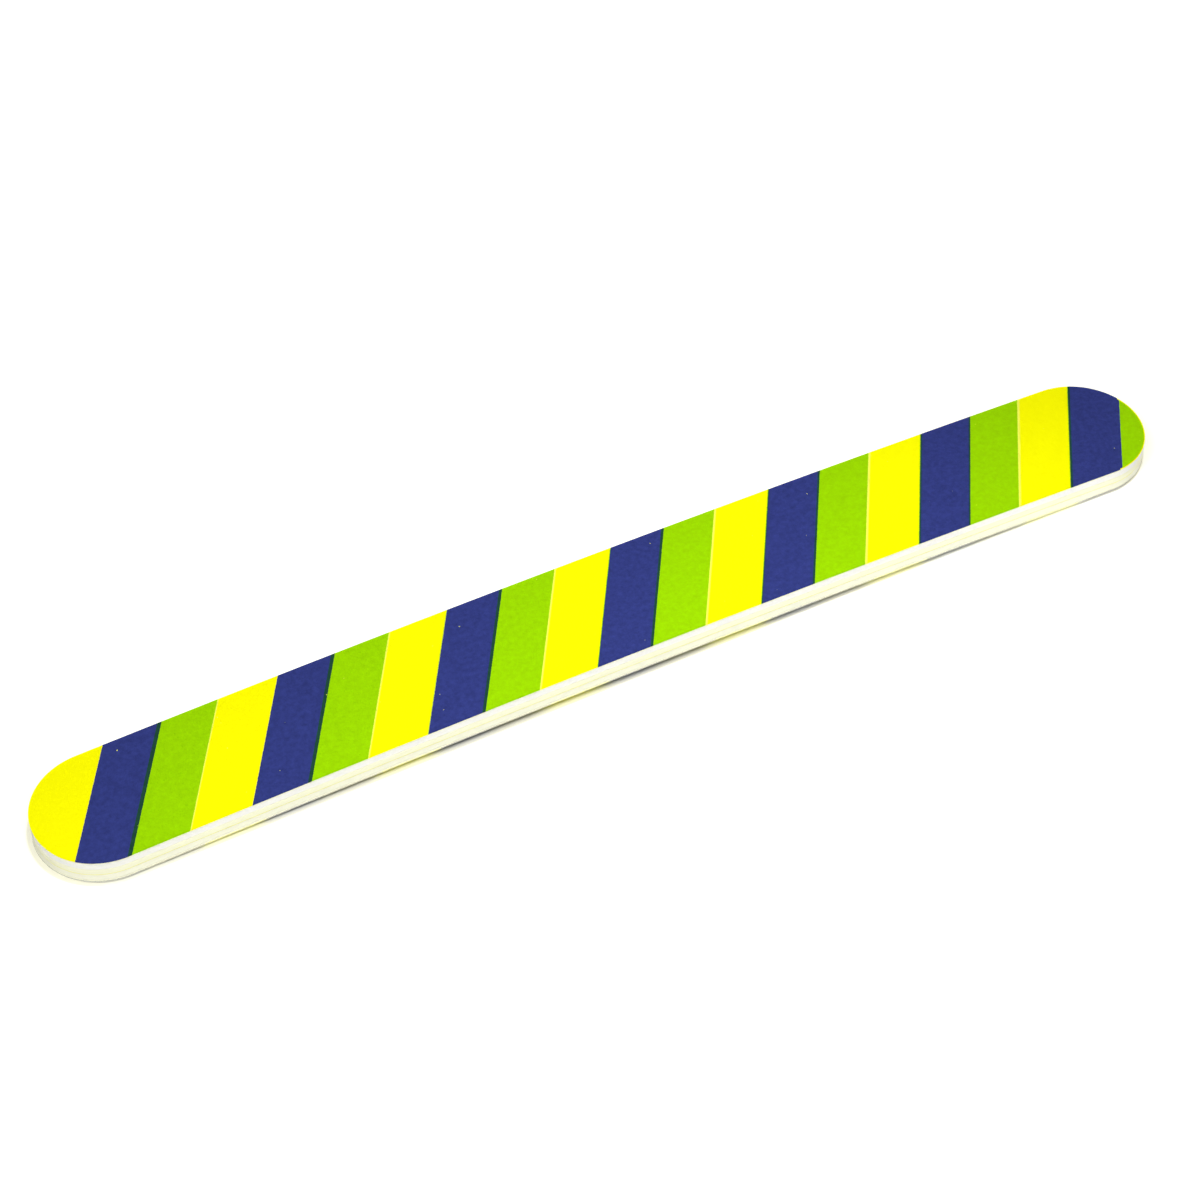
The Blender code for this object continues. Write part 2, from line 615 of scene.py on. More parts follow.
def striped_colour(steps, inks, along, spot, third_colour):
    """The colour of the three inks where they lie, overlap or leave the grit bare."""
    navy = Ink(inks, "navy", inks.navy_colour)
    green = Ink(inks, "green", third_colour, inks.green_drift, inks.green_widening)
    yellow = Ink(inks, "yellow", inks.yellow_colour, inks.yellow_drift, inks.yellow_widening)
    softness = inks.edge_softness / MILLIMETRE
    first = (inks.yellow_centre - inks.pitch) / MILLIMETRE
    along = steps.math("MAXIMUM", along, first)
    number, navy_left, navy_right = navy.edges(steps, along)
    at_seam = steps.math("COMPARE", number, inks.seam_stripe, SAME_STRIPE)
    growth = steps.product(at_seam, inks.seam_growth / MILLIMETRE)
    navy_right = steps.total(growth, navy_right)
    navy_depth = steps.math("MINIMUM", navy_left, navy_right)
    on_navy = mask(steps, navy_depth, softness)
    _, green_left, green_right = green.edges(steps, along)
    on_green = mask(steps, steps.math("MINIMUM", green_left, green_right), softness)
    _, yellow_left, yellow_right = yellow.edges(steps, along)
    on_yellow = mask(steps, steps.math("MINIMUM", yellow_left, yellow_right), softness)
    near_navy = mask(steps, steps.total(navy_depth, inks.fringe / MILLIMETRE), softness)
    thin_navy = steps.product(near_navy, on_yellow)
    past_gap = mask(steps, yellow_left, softness)
    colour = mix_colours(steps, past_gap, (*inks.bare_grit, 1), yellow.colour)
    colour = mix_colours(steps, thin_navy, colour, (*inks.fringe_colour, 1))
    size = inks.mottle_size / MILLIMETRE
    blot = steps.noise(spot, size, detail=5.0, roughness=0.75)
    thin = steps.spread(blot, 1 - inks.green_mottle, 1 + inks.green_mottle, smooth=False)
    colour = mix_colours(steps, on_green, colour, brighten(steps, green.colour[:3], thin))
    off_seam = steps.minus(1.0, at_seam)
    other_ink = steps.math("MAXIMUM", on_yellow, steps.product(on_green, off_seam))
    navy_colour = mix_colours(steps, other_ink, navy.colour, (*inks.overprint, 1))
    thin = steps.spread(blot, 1 - inks.navy_mottle, 1 + inks.navy_mottle, smooth=False)
    return mix_colours(steps, on_navy, colour, brighten(steps, navy_colour, thin))


def print_material(inks, cut, level, on_grains=False):
    """The print on the grit of the upper or the lower sheet."""
    name = f"{level} print on grains" if on_grains else f"{level} print"
    paint = Paint(name, inks.roughness, inks.gloss)
    steps, spot = paint.steps, paint.spot
    x, y, _ = steps.split_xyz(spot)
    ragged = steps.minus(steps.noise(spot, inks.edge_size / MILLIMETRE), 0.5)
    strayed = steps.product(ragged, 2 * inks.edge_wander / MILLIMETRE)
    lean = -inks.slant if level == "upper" else inks.slant
    shift = 0.0 if level == "upper" else inks.lower_shift / MILLIMETRE
    along = steps.total(steps.product(y, lean), x, strayed, shift)
    third = inks.green_colour if level == "upper" else inks.lower_third_colour
    colour = striped_colour(steps, inks, along, spot, third)
    if on_grains:
        share = steps.out("ShaderNodeAttribute", output="Fac", attribute_name="grain_share")
        bare = steps.ramp(share, 1 - inks.bare_share, 1.0, 0.0, 1.0)
        colour = mix_colours(steps, bare, colour, (*inks.bare_grit, 1))
    if level == "upper":
        from_centre = steps.length(rim_vector(steps, x, y, HALF_STRAIGHT / MILLIMETRE))
        from_rim = steps.minus(END_RADIUS / MILLIMETRE, from_centre)
        rim_line = steps.total(steps.product(ragged, RIM_STRAY), inks.rim_width / MILLIMETRE)
        rim_end = steps.total(rim_line, RIM_SOFTNESS)
        at_rim = steps.ramp(from_rim, rim_line, rim_end, 1.0, 0.0)
        last_navy = inks.navy_centre + inks.seam_stripe * inks.pitch + inks.navy_width / 2
        past_navy = steps.math("GREATER_THAN", along, last_navy / MILLIMETRE)
        past_navy = steps.product(past_navy, at_rim)
        colour = mix_colours(steps, past_navy, colour, (*inks.yellow_colour, 1))
    if level == "lower" and not on_grains:
        _, _, rise = steps.split_xyz(steps.out("ShaderNodeNewGeometry", output="True Normal"))
        rise = steps.math("ABSOLUTE", rise)
        on_wall = steps.ramp(rise, WALL_RISE, FACE_RISE, 1.0, 0.0)
        # The cut rim's colour carries painted shade at the foot just before the right tip
        rim = brighten(steps, tuple(inks.rim_colour), painted_foot_shade(steps, cut, spot, level))
        colour = mix_colours(steps, on_wall, colour, rim)
    return paint.finish(colour, steps.noise(spot, size=0.06, detail=3.0), depth=0.01)


def paper_material(inks, cut, level):
    """The backing paper of an abrasive sheet, seen at its cut rim."""
    paint = Paint(f"{level} backing paper", roughness=0.8, specular=0.2)
    steps, spot = paint.steps, paint.spot
    fibre = steps.noise(steps.vector("MULTIPLY", spot, FIBRE_SCALE), size=1.0, detail=4.0)
    density = steps.spread(fibre, low=0.9, high=1.05)
    # Painted shade: the lower paper's foot is darkened just before the right tip
    density = steps.product(density, painted_foot_shade(steps, cut, spot, level))
    return paint.finish(brighten(steps, tuple(inks.paper_colour), density), fibre, depth=0.01)


def foam_material(laminate, cut, level):
    """Closed-cell foam, cut through: ivory, with painted shade making each open cell a little
    darker inside. The lower pad is a darker, creamier copy as painted shade, and its foot near the
    right tip has painted shade too.
    """
    paint = Paint(f"{level} foam", roughness=0.75, specular=0.2)
    steps, spot = paint.steps, paint.spot
    # The lower pad is the same foam as the upper, in a darker, creamier copy: painted shade
    colour = laminate.upper_foam if level == "upper" else laminate.lower_foam_painted_shade
    from_middle = steps.cells(spot, laminate.foam_cell / MILLIMETRE)
    # Painted shade: each open cell is a little darker towards its middle, where it is hollow
    cell = steps.ramp(from_middle, start=0.1, end=0.5, low=0.97, high=1.0)
    cloud = steps.spread(steps.noise(spot, size=1.5, detail=4.0), low=0.98, high=1.01)
    # The light share holds the painted shade of the cells and of the lower foot near the right tip
    light = steps.product(cell, cloud, painted_foot_shade(steps, cut, spot, level))
    paint.shader.inputs["Subsurface Weight"].default_value = laminate.foam_glow
    paint.shader.inputs["Subsurface Radius"].default_value = FOAM_SCATTER
    paint.shader.inputs["Subsurface Scale"].default_value = FOAM_SCATTER_LENGTH
    pores = steps.noise(spot, size=0.05)
    return paint.finish(brighten(steps, tuple(colour), light), pores, depth=0.008)


def core_material(laminate):
    """White plastic, with the fine level marks that the die leaves on it."""
    paint = Paint("Core plastic", roughness=0.45, specular=0.4)
    steps = paint.steps
    marks = steps.noise(steps.vector("MULTIPLY", paint.spot, MARK_SCALE), size=1.0, detail=3.0)
    light = steps.spread(marks, low=0.975, high=1.01)
    return paint.finish(brighten(steps, tuple(laminate.core_colour), light), marks, depth=0.006)


def adhesive_material(name, colour):
    """A film of adhesive, with a soft shine and a slight cloudiness."""
    paint = Paint(name, roughness=0.35, specular=0.5)
    steps, spot = paint.steps, paint.spot
    cloud = steps.spread(steps.noise(spot, size=0.8, detail=3.0), low=0.93, high=1.03)
    ripples = steps.noise(spot, size=0.15)
    return paint.finish(brighten(steps, tuple(colour), cloud), ripples, depth=0.01)


def outline_place(travel):
    """A point of the file's outline, by its distance along it from the middle of the near side."""
    arc = math.pi * END_RADIUS
    travel = (travel + HALF_STRAIGHT) % (4 * HALF_STRAIGHT + 2 * arc)
    if travel < 2 * HALF_STRAIGHT:
        return Vector((travel - HALF_STRAIGHT, -END_RADIUS))
    travel -= 2 * HALF_STRAIGHT
    if travel < arc:
        turn = travel / END_RADIUS - math.pi / 2
        end = HALF_STRAIGHT + END_RADIUS * math.cos(turn)
        return Vector((end, END_RADIUS * math.sin(turn)))
    travel -= arc
    if travel < 2 * HALF_STRAIGHT:
        return Vector((HALF_STRAIGHT - travel, END_RADIUS))
    turn = (travel - 2 * HALF_STRAIGHT) / END_RADIUS + math.pi / 2
    end = -HALF_STRAIGHT + END_RADIUS * math.cos(turn)
    return Vector((end, END_RADIUS * math.sin(turn)))


def coat_mesh(spacing, seed):
    """A flat round-ended plate, a unit thick, whose top is an uneven net of small triangles."""
    dice = random.Random(seed)
    perimeter = 4 * HALF_STRAIGHT + 2 * math.pi * END_RADIUS
    rim_count = round(perimeter / spacing)
    rim = [outline_place(perimeter * step / rim_count) for step in range(rim_count)]
    row_step = spacing * math.sqrt(3) / 2
    jitter = NET_STRAY * spacing
    points = list(rim)
    for row in range(math.ceil(FILE_WIDTH / row_step) + 1):
        offset = spacing / 2 * (row % 2)
        for step in range(math.ceil(FILE_LENGTH / spacing) + 1):
            x = step * spacing + offset - FILE_LENGTH / 2 + dice.uniform(-jitter, jitter)
            y = row * row_step - FILE_WIDTH / 2 + dice.uniform(-jitter, jitter)
            from_centre = math.hypot(max(abs(x) - HALF_STRAIGHT, 0), y)
            if from_centre < END_RADIUS - NET_RIM_SPACE * spacing:
                points.append(Vector((x, y)))
    rim_edges = [(step, (step + 1) % rim_count) for step in range(rim_count)]
    net, _, net_faces, *_ = delaunay_2d_cdt(points, rim_edges, [], 1, NET_WELD)
    _, _, base_faces, *_ = delaunay_2d_cdt(rim, rim_edges, [], 1, NET_WELD)
    first_base = len(net)
    places = [(p.x, p.y, 1.0) for p in net] + [(p.x, p.y, 0.0) for p in rim]
    faces = [tuple(face) for face in net_faces]
    faces += [tuple(first_base + corner for corner in reversed(face)) for face in base_faces]
    for start, end in rim_edges:
        faces.append((start, first_base + start, first_base + end, end))
    mesh = bpy.data.meshes.new("grit_net")
    mesh.from_pydata(places, [], faces)
    return mesh


def settled(group, mesh, spot, place, facing, map_rows):
    """A sheet's mesh with its map, moved to its place and turned to face outwards.

    The map goes by a spot on the flat sheet, in x and y. What faces down was made facing up
    and then mirrored, so its faces are flipped.
    """
    steps = group.steps
    along = steps.total(steps.over(spot[0], group.length), 0.5)
    across = steps.total(steps.over(spot[1], group.width), 0.5)
    mapped = add_map(steps, mesh, along, across, map_rows)
    moved = steps.out("GeometryNodeSetPosition", {"Geometry": mapped, "Position": place})
    faces_down = steps.math("LESS_THAN", facing, 0.0)
    return steps.out("GeometryNodeFlipFaces", {"Mesh": moved, "Selection": faces_down})


def coat_tree():
    """The grit coat: lifts the net's points by chance, bends it to the bow, turns up its rim."""
    group = GeometryTree("Grit coat")
    steps = group.steps
    radius, half_straight = group.radius, group.half_straight
    wander, wander_size = group.sizes("Cut Wander", "Cut Wander Size")
    base, surface, roughness = group.sizes("Base Height", "Surface Height", "Roughness")
    roll, roll_height, facing = group.sizes("Rim Roll", "Rim Roll Height", "Facing")
    seed, map_rows = group.counts("Seed", "Map Rows")

    x, y, level = steps.split_xyz(steps.out("GeometryNodeInputPosition"))
    left_end = steps.product(half_straight, -1.0)
    axis_x = steps.math("MINIMUM", steps.math("MAXIMUM", x, left_end), half_straight)
    axis = steps.join_xyz(axis_x, 0.0, 0.0)
    outwards = steps.vector("SUBTRACT", steps.join_xyz(x, y, 0.0), axis)
    from_axis = steps.length(outwards)
    to_rim = steps.vector("SCALE", steps.vector("NORMALIZE", outwards), scale=radius)
    inset = cut_wander(steps, steps.vector("ADD", axis, to_rim), wander, wander_size)
    pull = steps.ramp(steps.over(from_axis, radius), PULL_START, 1.0)
    shrink = steps.minus(1.0, steps.product(pull, steps.over(inset, radius)))
    flat = steps.vector("ADD", axis, steps.vector("SCALE", outwards, scale=shrink))
    flat_x, flat_y, _ = steps.split_xyz(flat)

    at_rim = steps.ramp(steps.minus(radius, from_axis), 0.0, roll, 1.0, 0.0)
    sunk = steps.minus(chance(steps, 0.0, 1.0, seed), 1.0)
    bumps = steps.product(roughness, steps.minus(1.0, at_rim), sunk)
    top = steps.total(surface, bumps, steps.product(roll_height, at_rim))
    height = steps.ramp(level, 0.0, 1.0, base, top, smooth=False)
    place = group.on_bow(flat_x, flat_y, steps.product(height, facing))
    net = group.inputs.outputs["Geometry"]
    return group.finish(settled(group, net, (x, y), place, facing, map_rows))


def grain_shapes(steps):
    """Three angular grains, a unit across, with a few faces each: splinter, block and wedge."""
    splinter = steps.out("GeometryNodeMeshUVSphere", {"Segments": 4, "Rings": 2, "Radius": 0.5})
    block = steps.out("GeometryNodeMeshCube", {"Size": (0.7, 0.8, 0.6)})
    wedge = steps.out(
        "GeometryNodeMeshCone",
        {"Vertices": 3, "Radius Top": 0.25, "Radius Bottom": 0.55, "Depth": 0.8},
        output="Mesh",
    )
    join = steps.tree.nodes.new("GeometryNodeGeometryToInstance")
    for shape in (splinter, block, wedge):
        steps.tree.links.new(shape, join.inputs[0])
    return join.outputs[0]


def grain_tree():
    """Larger grains scattered over a sheet, sunk in its coat, with their tips worn level."""
    group = GeometryTree("Scattered grains")
    steps = group.steps
    surface, top, facing = group.sizes("Surface Height", "Top Height", "Facing")
    spacing, size, sink, margin = group.sizes("Spacing", "Grain Size", "Sink", "Rim Margin")
    seed, map_rows = group.counts("Seed", "Map Rows")

    sheet = steps.out(
        "GeometryNodeMeshGrid",
        {"Size X": group.length, "Size Y": group.width, "Vertices X": 2, "Vertices Y": 2},
        output="Mesh",
    )
    points = steps.out(
        "GeometryNodeDistributePointsOnFaces",
        {"Mesh": sheet, "Distance Min": spacing, "Density Max": GRAIN_DENSITY, "Seed": seed},
        output="Points",
        distribute_method="POISSON",
    )
    x, y, _ = steps.split_xyz(steps.out("GeometryNodeInputPosition"))
    from_centre = steps.length(rim_vector(steps, x, y, group.half_straight))
    outside = steps.math("GREATER_THAN", from_centre, steps.minus(group.radius, margin))
    inside_points = steps.out(
        "GeometryNodeDeleteGeometry", {"Geometry": points, "Selection": outside}, domain="POINT"
    )
    share = chance(steps, 0.0, 1.0, SHARE_SEED)
    marked = store(steps, inside_points, "grain_share", share)
    marked = store(steps, marked, "grain_x", x)
    least, most = [(limit, limit, limit) for limit in GRAIN_STRETCH]
    stretch = chance(steps, least, most, STRETCH_SEED, kind="FLOAT_VECTOR")
    turn = chance(steps, (0.0, 0.0, 0.0), (math.tau,) * 3, TURN_SEED, kind="FLOAT_VECTOR")
    grains = steps.out(
        "GeometryNodeInstanceOnPoints",
        {
            "Points": marked,
            "Instance": grain_shapes(steps),
            "Pick Instance": True,
            "Instance Index": chance(steps, 0, 2, KIND_SEED, kind="INT"),
            "Rotation": steps.out("FunctionNodeEulerToRotation", {"Euler": turn}),
            "Scale": steps.vector("SCALE", stretch, scale=size),
        },
    )
    solid = steps.out("GeometryNodeRealizeInstances", {"Geometry": grains})
    place_x, place_y, place_z = steps.split_xyz(steps.out("GeometryNodeInputPosition"))
    raised = steps.minus(steps.total(surface, place_z), sink)
    worn = steps.math("MINIMUM", raised, top)
    place = group.on_bow(place_x, place_y, steps.product(worn, facing))
    grain_x = steps.out(
        "GeometryNodeInputNamedAttribute", {"Name": "grain_x"}, data_type="FLOAT"
    )
    return group.finish(settled(group, solid, (grain_x, place_y), place, facing, map_rows))


def length_setting(name, description, default):
    return bpy.props.FloatProperty(
        name=name, description=description, default=default, unit="LENGTH", precision=6
    )


def number_setting(name, description, default):
    return bpy.props.FloatProperty(name=name, description=description, default=default)


def angle_setting(name, description, degrees):
    return bpy.props.FloatProperty(
        name=name, description=description, default=math.radians(degrees), subtype="ANGLE"
    )


def place_setting(name, description, default):
    return bpy.props.FloatVectorProperty(
        name=name,
        description=description,
        default=default,
        size=3,
        subtype="XYZ",
        unit="LENGTH",
        precision=6,
    )


def colour_setting(name, description, default):
    return bpy.props.FloatVectorProperty(
        name=name, description=description, default=default, size=3, subtype="COLOR", min=0, max=1
    )


class CutSettings(bpy.types.PropertyGroup):
    """Sizes that the die leaves on the cut walls of every layer, and the painted shade at the foot
    of the lower layers.
    """

    cut_wander: length_setting("Cut wander", "How far the die's cut strays inwards", 0.00002)
    cut_wander_size: length_setting("Wander size", "Length of one stray of the cut", 0.003)
    wall_step: length_setting("Wall step", "Width of one face round a fine wall", 0.0001)
    plain_step: length_setting("Plain step", "Width of one face round a plain wall", 0.00025)
    edge_rounding: length_setting("Edge rounding", "Rounding of a thin layer's edges", 0.00002)
    # Painted shade at the lower layers' foot just before the right tip: its depth, middle, reach
    # and height
    painted_foot_shade: number_setting("Painted foot shade", "Brightness that painted shade takes from the foot", 0.35)
    painted_foot_shade_place: length_setting("Scuff place", "Middle of it along X", 0.0785)
    painted_foot_shade_reach: length_setting("Scuff reach", "Distance from there at which it ends", 0.006)
    painted_foot_shade_height: length_setting("Scuff height", "Height up to which it goes", 0.0008)


class PrintSettings(bpy.types.PropertyGroup):
    """Inks of the striped print, and where each plate laid them."""

    slant: number_setting("Slant", "How far the stripes lean along X for each step in Y", 0.626)
    pitch: length_setting("Stripe pitch", "From one navy stripe to the next", 0.026408)
    navy_centre: length_setting("Navy place", "Middle of the first navy stripe", -0.076761)
    navy_width: length_setting("Navy width", "Width of the first navy stripe", 0.008826)
    green_centre: length_setting("Green place", "Middle of the first green stripe", -0.06847)
    green_width: length_setting("Green width", "Width of the first green stripe", 0.0091)
    green_drift: length_setting("Green drift", "Added to the pitch of the green stripes", 0.00004)
    green_widening: length_setting("Green widening", "Width that each next one gains", -0.00008)
    yellow_centre: length_setting("Yellow place", "Middle of the first of them", -0.0593185)
    yellow_width: length_setting("Yellow width", "Width of the first yellow stripe", 0.008845)
    yellow_drift: length_setting("Yellow drift", "Added to the pitch of the yellow", 0.0000725)
    yellow_widening: length_setting("Yellow widening", "Width that each next one gains", 0.000055)
    seam_stripe: number_setting("Seam stripe", "Navy stripe at the plate's seam", 6)
    seam_growth: length_setting("Seam growth", "How much wider it is, on its right", 0.00038)
    fringe: length_setting("Fringe", "Width of the thin ink where navy lies on yellow", 0.0001)
    fringe_colour: colour_setting("Fringe colour", "Thin navy on yellow", (0.33, 0.64, 0.0))
    lower_shift: length_setting("Lower print shift", "Place of the lower print along X", 0.01072)
    lower_third_colour: colour_setting("Khaki", "Third ink of the lower print", (0.27, 0.25, 0.2))
    navy_colour: colour_setting("Navy", "Colour of the navy ink", (0.0315, 0.0435, 0.205))
    green_colour: colour_setting("Green", "Colour of the green ink", (0.325, 0.67, 0.0))
    yellow_colour: colour_setting("Yellow", "Colour of the yellow ink", (1.0, 0.98, 0.0))
    overprint: colour_setting("Overprint", "Colour of navy on another ink", (0.0138, 0.063, 0.037))
    bare_grit: colour_setting("Bare grit", "Colour of grit without ink", (0.95, 0.98, 0.1))
    rim_colour: colour_setting("Rim", "Colour of the coat at its cut rim", (0.95, 0.95, 0.78))
    paper_colour: colour_setting("Paper", "Colour of the backing paper", (0.95, 0.95, 0.78))
    rim_width: length_setting("Rim width", "Width of the yellow rim at the last green", 0.00013)
    edge_wander: length_setting("Ink edge wander", "How far an ink's edge strays", 0.00008)
    edge_size: length_setting("Ink edge size", "Length of one stray of an ink's edge", 0.00016)
    edge_softness: length_setting("Ink edge softness", "Half the width of an ink's edge", 0.00003)
    navy_mottle: number_setting("Navy mottle", "How much the navy ink's density varies", 0.22)
    green_mottle: number_setting("Green mottle", "How much the green ink's density varies", 0.1)
    mottle_size: length_setting("Mottle size", "Size of one patch of denser ink", 0.0008)
    bare_share: number_setting("Bare grains", "Share of the grains with too little ink", 0.004)
    roughness: number_setting("Print roughness", "Roughness of the print", 0.7)
    gloss: number_setting("Print gloss", "Specular level of the print", 0.04)


class GritSettings(bpy.types.PropertyGroup):
    """Sizes of the grit coat and of the larger grains in it."""

    coat_thickness: length_setting("Coat thickness", "From the paper to the grains' tips", 0.0001)
    net_spacing: length_setting("Net spacing", "Distance between the small grains", 0.00024)
    net_roughness: length_setting("Net roughness", "Height of the small grains", 0.00004)
    net_depth: length_setting("Net depth", "From large grains' tips to small ones", 0.00003)
    spacing: length_setting("Grain spacing", "Least distance between large grains", 0.00036)
    size: length_setting("Grain size", "Width of a large grain", 0.00019)
    sink: length_setting("Grain sink", "How far a grain's middle is sunk in the coat", 0.00005)
    rim_margin: length_setting("Rim margin", "Width of the rim that has no large grain", 0.00018)
    rim_roll: length_setting("Rim roll", "Width of the rim that the die turned up", 0.0002)
    rim_roll_height: length_setting("Rim roll height", "How far it was turned up", 0.00003)
    seed: bpy.props.IntProperty(name="Seed", description="Seed of the grains", default=7)


class LaminateSettings(bpy.types.PropertyGroup):
    """Walls and colours of the foam pads, the core and the adhesive films."""

    foam_cell: length_setting("Foam cell", "Size of one cell of the foam", 0.00026)
    foam_pit: length_setting("Foam pit", "Depth of a cell that the die cut open", 0.00005)
    foam_waist: length_setting("Foam waist", "How far a pad's wall pulls in", 0.00004)
    foam_rounding: length_setting("Foam rounding", "Rounding of a pad's edges", 0.00005)
    foam_glow: number_setting("Foam glow", "Share of light that goes through foam", 0.2)
    foam_fill: number_setting("Foam fill", "Tightness of the foam pads", 1.0)
    core_rounding: length_setting("Core rounding", "Rounding of the core's edges", 0.00003)
    film_set_back: length_setting("Film set-back", "How far a film stays behind", 0.00001)
    upper_foam: colour_setting("Upper foam", "Colour of the upper pad", (0.95, 0.95, 0.95))
    # Painted shade: the same foam as the upper pad, darker and creamier for the shade at the
    # wall's lower part
    lower_foam_painted_shade: colour_setting("Lower foam", "Colour of the lower pad", (0.94, 0.94, 0.81))
    core_colour: colour_setting("Core", "Colour of the plastic core", (0.94, 0.94, 0.75))
    sheet_glue: colour_setting("Sheet adhesive", "Film at a sheet", (0.9, 0.89, 0.72))
    upper_glue: colour_setting("Upper adhesive", "Film on the core", (0.93, 0.92, 0.7))
    lower_glue: colour_setting("Lower adhesive", "Film under the core", (0.88, 0.86, 0.04))


class StageSettings(bpy.types.PropertyGroup):
    """The floor, the light and the camera."""

    floor_size: length_setting("Floor size", "Radius of the floor", 3.0)
    floor_colour: colour_setting("Floor", "Colour of the floor", (0.95, 0.935, 0.79))
    floor_roughness: number_setting("Floor roughness", "Roughness of its shine", 0.2)
    floor_shine: number_setting("Floor shine", "Share of the floor's light that is shine", 0.02)
    sky_low: number_setting("Sky at the horizon", "Strength of the white light there", 0.03)
    sky_high: number_setting("Sky overhead", "Strength of the white light there", 0.38)
    main_lamp_power: number_setting("Main lamp power", "Power of the main lamp, in watts", 0.218)
    main_lamp_place: place_setting("Main lamp place", "Middle of it", (-0.129, -0.082, 0.142))
    main_lamp_aim: place_setting("Main lamp aim", "Point it shines on", (0.047, -0.005, 0.0))
    top_lamp_power: number_setting("Top lamp power", "Power above the middle, in watts", 0.064)
    top_lamp_place: place_setting("Top lamp place", "Middle of it", (0.021, -0.04, 0.094))
    top_lamp_aim: place_setting("Top lamp aim", "Point it shines on", (-0.032, -0.005, 0.0))
    right_lamp_power: number_setting("Right lamp power", "Power at the right, in watts", 0.0128)
    right_lamp_place: place_setting("Right lamp place", "Middle of it", (0.097, -0.096, 0.096))
    right_lamp_aim: place_setting("Right lamp aim", "Point it shines on", (0.088, 0.004, 0.0))
    right_lamp_beam: angle_setting("Right lamp beam", "Width of its beam", 69)
    lamp_size: length_setting("Lamp size", "Width of each lamp", 0.06)
    near_glow: number_setting("Near glow", "Glow that keeps the floor white at the file", 0.3)
    near_glow_inside: length_setting("Near glow inside", "Where it starts under it", 0.00035)
    near_glow_outside: length_setting("Near glow outside", "Where it is full", 0.0001)
    near_glow_lean: number_setting("Near glow lean", "How far it moves in along X", 0.006)
    near_glow_held_back: length_setting("Glow held back", "Distance it keeps at the tips", 0.00035)
    far_glow: number_setting("Far glow", "Glow added to it for the far floor", 0.5)
    far_glow_reach: length_setting("Far glow reach", "Distance at which it is full", 0.012)
    lens: number_setting("Lens", "Focal length in millimetres", 97.56)
    distance: length_setting("Distance", "From the camera to what it aims at", 0.470754)
    azimuth: angle_setting("Azimuth", "Angle from the file's front to the camera", -27.303)
    elevation: angle_setting("Elevation", "Angle of the camera above the floor", 46.359)
    roll: angle_setting("Roll", "Turn of the camera about its own axis", -0.422)
    aim: place_setting("Aim", "Point that the camera aims at", (-0.000352, 0.004425, 0.002))


class NAILFILE_OT_plastic_core(bpy.types.Operator):
    """Makes the plastic core"""

    bl_idname = "nailfile.plastic_core"
    bl_label = "Plastic core"

    def execute(self, context):
        laminate = context.scene.nail_file_laminate
        inputs = {"Edge Rounding": laminate.core_rounding}
        plastic = core_material(laminate)
        make_layer("core_strip", "plastic_core", "core_plastic", plastic, inputs)
        return {"FINISHED"}


class NAILFILE_OT_foam_pads(bpy.types.Operator):
    """Makes the two foam pads, with their cells cut open along the walls"""

    bl_idname = "nailfile.foam_pads"
    bl_label = "Foam pads"

    def execute(self, context):
        cut = context.scene.nail_file_cut
        laminate = context.scene.nail_file_laminate
        for number, level in enumerate(LEVELS):
            inputs = {
                "Columns": columns_for(cut.wall_step),
                "Edge Rounding": laminate.foam_rounding,
                "Waist": laminate.foam_waist,
                "Pit Depth": laminate.foam_pit,
                "Pit Size": laminate.foam_cell,
                "Pattern Shift": PATTERN_STEP * number,
            }
            foam = foam_material(laminate, cut, level)
            pad = make_layer(f"{level}_pad", f"{level}_foam_pad", "foam", foam, inputs)
        return {"FINISHED"}


class NAILFILE_OT_adhesive_films(bpy.types.Operator):
    """Makes the four films of adhesive between the layers"""

    bl_idname = "nailfile.adhesive_films"
    bl_label = "Adhesive films"

    def execute(self, context):
        laminate = context.scene.nail_file_laminate
        at_sheet = adhesive_material("Sheet adhesive", laminate.sheet_glue)
        above_core = adhesive_material("Upper core adhesive", laminate.upper_glue)
        below_core = adhesive_material("Lower core adhesive", laminate.lower_glue)
        joints = (
            ("lower_sheet", at_sheet, laminate.film_set_back),
            ("lower_core", below_core, 0.0),
            ("upper_core", above_core, laminate.film_set_back),
            ("upper_sheet", at_sheet, laminate.film_set_back),
        )
        for number, (joint, glue, set_back) in enumerate(joints):
            inputs = {"Set Back": set_back, "Pattern Shift": PATTERN_STEP * number}
            make_layer(f"{joint}_film", f"{joint}_adhesive", "adhesive", glue, inputs)
        return {"FINISHED"}


class NAILFILE_OT_backing_paper(bpy.types.Operator):
    """Makes the backing paper of the two abrasive sheets"""

    bl_idname = "nailfile.backing_paper"
    bl_label = "Backing paper"

    def execute(self, context):
        cut = context.scene.nail_file_cut
        grit = context.scene.nail_file_grit
        inks = context.scene.nail_file_print
        for number, level in enumerate(LEVELS):
            node = f"{level}_abrasive_sheet"
            low, high = layer_span(node)
            if level == "upper":
                high -= grit.coat_thickness
            else:
                low += grit.coat_thickness
            inputs = {
                "Underside": low,
                "Thickness": high - low,
                "Pattern Shift": PATTERN_STEP * number,
            }
            paper = paper_material(inks, cut, level)
            make_layer(f"{level}_paper", node, "printed_grit", paper, inputs)
        return {"FINISHED"}


def grit_values(context, number, level, on_grains=False):
    """The inputs that a sheet's coat and its large grains share.

    What faces down is made facing up, at mirrored heights, and then turned over.
    """
    cut = context.scene.nail_file_cut
    grit = context.scene.nail_file_grit
    low, high = layer_span(f"{level}_abrasive_sheet")
    tips = high if level == "upper" else -low
    return {
        "Base Height": tips - grit.coat_thickness,
        "Surface Height": tips - grit.net_depth,
        "Top Height": tips,
        "Facing": 1.0 if level == "upper" else -1.0,
        "Seed": grit.seed + number,
        "Map Rows": SHEET_MAP_ROWS,
        "Material": print_material(context.scene.nail_file_print, cut, level, on_grains),
        **file_values(cut),
    }


